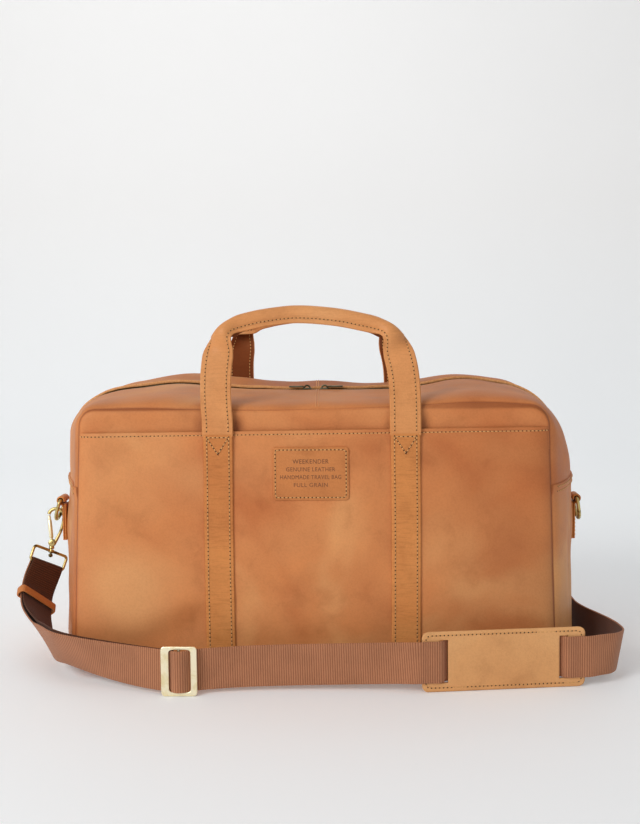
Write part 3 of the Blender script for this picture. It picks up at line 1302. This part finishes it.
def hook_set(side, origin, axes, loop_axes, body_hook, body_gate, body_loop):
    """Drawn in its own frame: the loop's upper bar crosses the origin along X, the hook rises along +Z."""

    def put(name, parts, material, body, node, axes=axes):
        points, faces = merged(parts)
        piece(f"{side}_{name}", placed(points, origin, axes), faces, material, body, f"{side}_{node}")

    arm = [(2.2, 8), (5, 15), (7.4, 23), (8.4, 32), (7.9, 38)]
    arm += [(4.9, 42.4), (0.4, 44), (-4, 43), (-6.9, 40.2), (-7.6, 37.6)]
    arm = resample(catmull([(x, 0, z) for x, z in arm]), 0.7)
    u = np.linspace(0, 1, len(arm))
    radius = 1.55 + 0.3 * smoothstep(0.5, 0.85, u) + 0.25 * smoothstep(0.25, 0, u)
    across, along = (0, 1, 0), (0, 0, 1)
    pivot = (0, 0, 8.6)
    eye = both_ends([(-3.2, 0.4), (-3.2, 3.0), (-2.9, 3.5), (-2.0, 3.7), (-1.9, 3.0)])
    neck = [(2.4, 0.5), (2.4, 2.3), (2.8, 2.75), (4.6, 2.75), (5.3, 2.3), (6.5, 2.2), (6.5, 0.5)]
    hook = [wire(arm, radius, across), lathe(eye, pivot, across), lathe(neck, (0, 0, 0), along)]
    put("hook_arm", hook, BRASS, body_hook, "hook_body")
    root, tip = arr(-0.4, 0, 8.6), arr(-7.3, 0, 36.4)
    long = np.linalg.norm(tip - root)
    bar = [(1.5, 1.3), (5.0, 1.45), (5.2, 1.9), (5.6, 2.15), (23.4, 2.15), (23.9, 1.9), (24.2, 1.5)]
    bar += [(long - 0.6, 1.5), (long, 1.1)]
    put("hook_gate_bar", [lathe(bar, root, tip - root)], PALE_BRASS, body_gate, "hook_gate")
    rivet = both_ends([(-4.0, 0.2), (-4.0, 1.0), (-3.7, 1.35), (-3.1, 1.4), (-3.1, 0.9)])
    put("hook_pin", [lathe(rivet, root, across)], BRASS, body_hook, "hook_rivet")
    post = [(-6.6, 0.2), (-6.3, 1.2), (-5.5, 2.1), (-4.4, 2.3), (-3.4, 2.1), (-3.0, 1.5), (-2.6, 1.0)]
    post += [(4.6, 1.0), (4.6, 0.2)]
    put("hook_post", [lathe(post, (0, 0, 0), along)], BRASS, body_hook, "hook_swivel")

    path = rounded(42, 15, 3.2, 9, (0, -7.5))
    path = np.stack([path[:, 0], np.zeros(len(path)), path[:, 1]], 1)
    path = resample(np.vstack([path, path[:1]]), 0.9)[:-1]
    collar = both_ends([(-1.9, 0.4), (-1.9, 2.4), (-1.5, 2.8)])
    loop = [wire(path, 1.5, across, closed=True), lathe(collar, (0, 0, 0), along)]
    put("strap_loop_wire", loop, BRASS, body_loop, "strap_loop", loop_axes)


def frame_axes(x, z):
    up = unit(z)
    across = unit(x - up * x.dot(up))
    return across, np.cross(up, across), up


left_top = LEFT_BAR - LEFT_DOWN * 15
left_axes = frame_axes(arr(1, 0, 0), arr(0.12, 0.17, 0.97))
hook_set("left", left_top, left_axes, frame_axes(LEFT_WIDE, -LEFT_DOWN), "hook_left", "gate_left", "root")
right_top = arr(92.98, 192.16, 4.6)
right_way = unit(arr(-0.9953, 0.0968, 0))
right_axes = frame_axes(arr(0, -1, 0), right_way)
hook_set("right", right_top, right_axes, right_axes, "hook_right", "gate_right", "loop_right")

# ------------------------------------------------------------------ adjuster
ADJ = arr(-118.5, -168.7, 22.8)
outer = rounded(32.4, 45, 3.4, 9)
hole = rounded(19.6, 38.6, 3.2, 9, (0.7, 0.3))


def shrink(line, by):
    t = tangents(line, True)
    n = np.stack([t[:, 1], -t[:, 0]], 1)
    n *= np.sign(np.sum(n * (line - line.mean(0)), 1, keepdims=True))
    return line - n * by


def pierced(rims, centre, across, up, out):
    """A plate with a hole: rims lists (outline, height) from the outer edge to the hole, mirrored below."""
    rings = [centre + line[:, :1] * across + line[:, 1:] * up + h * out for line, h in rims]
    rings += [centre + line[:, :1] * across + line[:, 1:] * up - h * out for line, h in reversed(rims)]
    return tube(rings, closed=True)


rims = [(outer, 0.55), (shrink(outer, 0.15), 1.0), (shrink(outer, 0.55), 1.2),
        (shrink(hole, -0.55), 1.2), (shrink(hole, -0.15), 1.0), (hole, 0.6)]
frame_part = pierced(rims, ADJ, arr(1, 0, 0), arr(0, 0, 1), arr(0, -1, 0))
bar = lathe([(-20, 1.3), (20, 1.3)], ADJ + arr(0, 0.4, 0), (0, 0, 1))
points, faces = merged([frame_part, bar])
adjuster = piece("adjuster_frame", points, faces, PALE_BRASS, replaces="strap_adjuster", angle=25)


# ------------------------------------------------------------------ shoulder pad
def pad_point(u, h, out):
    """A point of the pad from its middle: along, up, and out towards the viewer."""
    c = (PAD_START + PAD_END) / 2
    u, h, out = np.broadcast_arrays(np.asarray(u, float), np.asarray(h, float), np.asarray(out, float))
    return c + u[..., None] * PAD_ALONG + h[..., None] * arr(0, 0, 1) + out[..., None] * PAD_OUT


def pad_mesh():
    """The pad round its two slots, as one closed plate with rounded edges."""
    nu, nh = 151, 56
    slot_c, slot_w, slot_h = PAD_LENGTH / 2 - SLOT_IN, 8.0, WEB_W + 1.4
    u = np.linspace(-PAD_LENGTH / 2, PAD_LENGTH / 2, nu)
    cuts = [c + e * slot_w / 2 for c in (-slot_c, slot_c) for e in (-1, 1)]
    for c in cuts:
        u[np.argmin(np.abs(u - c))] = c
    h = np.linspace(-PAD_HEIGHT / 2, PAD_HEIGHT / 2, nh)
    for c in (-slot_h / 2, slot_h / 2):
        h[np.argmin(np.abs(h - c))] = c
    U, H = np.meshgrid(u, h, indexing="ij")
    r = 6.5
    qx, qz = np.abs(U) - (PAD_LENGTH / 2 - r), np.abs(H) - (PAD_HEIGHT / 2 - r)
    inside_corner = (qx > 0) & (qz > 0)
    reach = np.maximum(np.maximum(qx, qz), 1e-9) / np.maximum(np.hypot(qx, qz), 1e-9)
    pull = np.where(inside_corner, reach, 1.0)
    U = np.sign(U) * np.where(inside_corner, (PAD_LENGTH / 2 - r) + qx * pull, np.abs(U))
    H = np.sign(H) * np.where(inside_corner, (PAD_HEIGHT / 2 - r) + qz * pull, np.abs(H))
    keep = []
    for i in range(nu - 1):
        for j in range(nh - 1):
            cu, ch = (u[i] + u[i + 1]) / 2, (h[j] + h[j + 1]) / 2
            if abs(abs(cu) - slot_c) < slot_w / 2 and abs(ch) < slot_h / 2:
                continue
            keep.append([i * nh + j, (i + 1) * nh + j, (i + 1) * nh + j + 1, i * nh + j + 1])
    p3 = np.stack([U, np.zeros_like(U), H], -1)
    to_edge = np.minimum(PAD_LENGTH / 2 - np.abs(U), PAD_HEIGHT / 2 - np.abs(H))
    out = PAD_THICK / 2 - 0.5 * (1 - smoothstep(0, 2.0, to_edge))
    out = out + 0.35 * soft_noise(p3, 26, 41.0)
    used = sorted({k for f in keep for k in f})
    index = {k: i for i, k in enumerate(used)}
    points = pad_point(U, H, out).reshape(-1, 3)[used]
    return points, [[index[k] for k in f] for f in keep]


points, faces = pad_mesh()
pad = piece("pad_leather_plate", points, faces, PAD_TAN, replaces="shoulder_pad", angle=60)
thicken(pad, PAD_THICK)
pad_sewn = Stitching("pad_stitches")
outline = rounded(PAD_LENGTH - 7.4, PAD_HEIGHT - 7.4, 4, 6)
outline = np.vstack([outline, outline[:1]])
for out in (1, -1):
    line = pad_point(outline[:, 0], outline[:, 1], out * (PAD_THICK / 2 - 0.02))
    pad_sewn.row(line, PAD_OUT * out, closed=True)
pad_stitches = pad_sewn.build()

# ------------------------------------------------------------------ keeper
row = int(np.argmax(lengths(strap_p) > 41))
kt, kw, kf = strap_t[row], strap_w[row], strap_f[row]
centre = strap_p[row] + kf * 1.9
section = rounded(WEB_W + 5.6, 9.6, 3.0, 7)
path = np.vstack([section, section[:1]])
path = resample(path, 1.0)[:-1]
ring_normals = shrink(path, -1) - path
profile = strip_section(9, 1.7, 5)
rings = []
for q, nrm in zip(path, unit(ring_normals)):
    c = centre + kw * q[0] + kf * q[1]
    n3 = kw * nrm[0] + kf * nrm[1]
    rings.append(c + kt * profile[:, :1] + n3 * profile[:, 1:])
points, faces = tube(rings, closed=True)
keeper = piece("keeper_band", points, faces, LABEL_TAN, replaces="strap_keeper")

# ------------------------------------------------------------------ zipper
mid_line = upper_outline(MID)
mid_out = outward(mid_line)
flat = np.zeros(len(mid_line))
zip_path = np.stack([mid_line[:, 0], flat, mid_line[:, 1], mid_out[:, 0], flat, mid_out[:, 1]], 1)
zip_path = resample(zip_path, 1.0)
zp, zn = zip_path[:, :3], unit(zip_path[:, 3:])
zp = zp - zn * 2.4 * (1 - smoothstep(0.6, 0.95, zn[:, 2:]))
zt = tangents(zp)
for side, s in (("front", -1), ("rear", 1)):
    section = arr((1.9, -0.3), (5.0, -1.6), (13.5, -3.8), (13.5, -4.6), (4.6, -2.4), (1.9, -1.1))
    rings = zp[::3, None] + arr(0, s, 0) * section[None, :, :1] + zn[::3, None] * section[None, :, 1:]
    points, faces = tube(rings)
    piece(f"zip_tape_{side}", points, faces, TAPE, replaces=f"zipper_tape_{side}")
    teeth = []
    at = lengths(zp)
    stations = np.arange(2 + (0.85 if s > 0 else 0), at[-1] - 2, 1.7)
    for d in stations:
        i = int(np.searchsorted(at, d))
        c, n_, t_ = zp[i] + zn[i] * 0.2, zn[i], zt[i]
        box = rounded(3.6, 1.9, 0.45, 2)
        rings = []
        for w_, g in ((-0.52, 0.85), (-0.42, 1), (0.42, 1), (0.52, 0.85)):
            shape = arr(0, s, 0) * box[:, :1] + n_ * box[:, 1:]
            rings.append(c + t_ * w_ + arr(0, s * 1.2, 0) + shape * g)
        teeth.append(tube(rings))
    points, faces = merged(teeth)
    piece(f"zip_teeth_{side}", points, faces, ZIP_METAL, replaces=f"zipper_teeth_{side}", angle=30)

for side, s in (("left", -1), ("right", 1)):
    lo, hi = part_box(f"zipper_slider_{side}")
    c = arr(*((lo + hi) / 2)) / MM
    top_z = 264
    plate = rounded(9.6, 8.6, 2.8, 6)
    rings = []
    for dz, g in ((-1.2, 0.9), (-0.9, 1), (0.6, 1), (1.2, 0.86)):
        rings.append(np.stack([c[0] + plate[:, 0] * g, plate[:, 1] * g, np.full(len(plate), top_z + dz)], 1))
    a = np.linspace(0, math.pi, 15)
    bridge = np.stack([c[0] + 3.0 * np.cos(a), np.zeros(15), top_z + 0.6 + 3.0 * np.sin(a)], 1)
    parts = [tube(rings), wire(bridge, 0.9, (0, 1, 0), k=10)]
    points, faces = merged(parts)
    piece(f"zip_slider_{side}_body", points, faces, ZIP_METAL, f"zip_slider_{side}", f"zipper_slider_{side}")
    tab = rounded(15, 5.6, 1.6, 6, (s * 11, 0))
    hole_ = rounded(3.4, 2.8, 1.0, 6, (s * 5.6, 0))
    rims = [(tab, 0.4), (shrink(tab, 0.4), 0.7), (shrink(hole_, -0.3), 0.7), (hole_, 0.4)]
    points, faces = pierced(rims, arr(c[0], 0, top_z + 2.6), arr(1, 0, 0), arr(0, 1, 0), arr(0, 0, 1))
    piece(f"zip_puller_{side}_tab", points, faces, ZIP_METAL, f"zip_puller_{side}", f"zipper_puller_{side}")

# centre seam across the top: two raised edges
for name, v0, v1 in (("front", -0.985, -FLAP), ("rear", FLAP, 0.985)):
    grid, v = top_half(name == "rear", v0, v1, 40)
    parts = []
    for dx in (-1.1, 1.1):
        line = []
        for j in range(grid.shape[1]):
            column = grid[:, j]
            order = np.argsort(column[:, 0])
            at_x = 1.5 + dx - 3.5 * v[j]
            line.append([at_x, column[0, 1], np.interp(at_x, column[order, 0], column[order, 2]) + 0.12])
        points, faces = wire(np.array(line), 0.5, (0, 0, 1), k=8)
        parts.append((points, faces))
    points, faces = merged(parts)
    piece(f"top_seam_{name}", points, faces, TAN, tone=np.full(len(points), 0.8))

# ------------------------------------------------------------------ what is kept from the frame
NODES["base_board"].data.materials.clear()
NODES["base_board"].data.materials.append(BOARD)

float(lengths(strap_p)[-1]) * MM


# ------------------------------------------------------------------ studio
def make_studio():
    n = Nodes("studio_paper")
    at = n.coords()
    height = n.add("ShaderNodeSeparateXYZ")
    n.link(at, height.inputs[0])
    cloud = n.noise(1.3, 2, 0.5, at)
    paper = n.mix(srgb(246, 249, 251), srgb(243, 242, 241), n.span(height.outputs[2], 0.0, 0.7, 0, 1))
    uneven = n.ramp(cloud, [(0.3, (0.99, 0.99, 0.99)), (0.7, (1, 1, 1))])
    n.link(n.mix(paper, uneven, 1.0, "MULTIPLY"), n.bsdf.inputs["Base Color"])
    n.bsdf.inputs["Roughness"].default_value = 0.75
    n.bsdf.inputs["Emission Color"].default_value = (0.985, 0.99, 1.0, 1)
    n.bsdf.inputs["Emission Strength"].default_value = 0.085
    n.bsdf.inputs["Specular IOR Level"].default_value = 0.25
    a = np.radians(np.linspace(0, 90, 20))
    profile = [(-6.0, 0.0), (-2.0, 0.0), (1.2, 0.0)]
    profile += [(1.6 + 0.9 * math.sin(q), 0.9 - 0.9 * math.cos(q)) for q in a]
    profile += [(2.5, 5.0)]
    xs = np.linspace(-6, 6, 9)
    grid = np.array([[(x, y, z) for x in xs] for y, z in profile])
    mesh = bpy.data.meshes.new("studio_sweep")
    mesh.from_pydata(grid.reshape(-1, 3).tolist(), [], grid_faces(*grid.shape[:2])[:, ::-1].tolist())
    mesh.shade_smooth()
    mesh.materials.append(n.material)
    obj = bpy.data.objects.new("studio_sweep", mesh)
    bpy.context.scene.collection.objects.link(obj)
    world = bpy.data.worlds.new("studio_light")
    world.use_nodes = True
    tree = world.node_tree
    back = tree.nodes["Background"]
    coord = tree.nodes.new("ShaderNodeTexCoord")
    parts = tree.nodes.new("ShaderNodeSeparateXYZ")
    sky = tree.nodes.new("ShaderNodeValToRGB")
    lift = tree.nodes.new("ShaderNodeMapRange")
    lift.inputs["From Min"].default_value, lift.inputs["From Max"].default_value = -1, 1
    tree.links.new(coord.outputs["Generated"], parts.inputs[0])
    tree.links.new(parts.outputs["Z"], lift.inputs["Value"])
    tree.links.new(lift.outputs["Result"], sky.inputs["Fac"])
    for element, (at, level) in zip(sky.color_ramp.elements, ((0.0, 0.7), (1.0, 0.5))):
        element.position = at
        element.color = (level, level * 1.005, level * 1.01, 1)
    tree.links.new(sky.outputs["Color"], back.inputs["Color"])
    back.inputs["Strength"].default_value = 0.79
    bpy.context.scene.world = world
    for name, at, to, size, power, colour in (
        ("key", (-1.7, -2.1, 1.5), (0, 0, 0.15), 1.3, 43, (1, 0.985, 0.965)),
        ("top", (0.0, 0.3, 2.6), (0, 0.3, 0.0), 2.2, 4, (1, 1, 1)),
        ("backdrop", (-0.5, 1.0, 1.95), (-0.3, 2.5, 0.9), 2.0, 7.8, (1, 1, 1)),
        ("fill", (0.6, -2.6, 1.3), (0, 0, 0.1), 1.6, 3, (1, 1, 1)),
    ):
        data = bpy.data.lights.new(name, "AREA")
        data.size = size
        data.energy = power
        data.color = colour
        light = bpy.data.objects.new(name, data)
        light.location = at
        light.rotation_mode = "QUATERNION"
        light.rotation_quaternion = (Vector(to) - Vector(at)).to_track_quat("-Z", "Y")
        bpy.context.scene.collection.objects.link(light)


make_studio()
bpy.context.scene.view_settings.view_transform = "Standard"
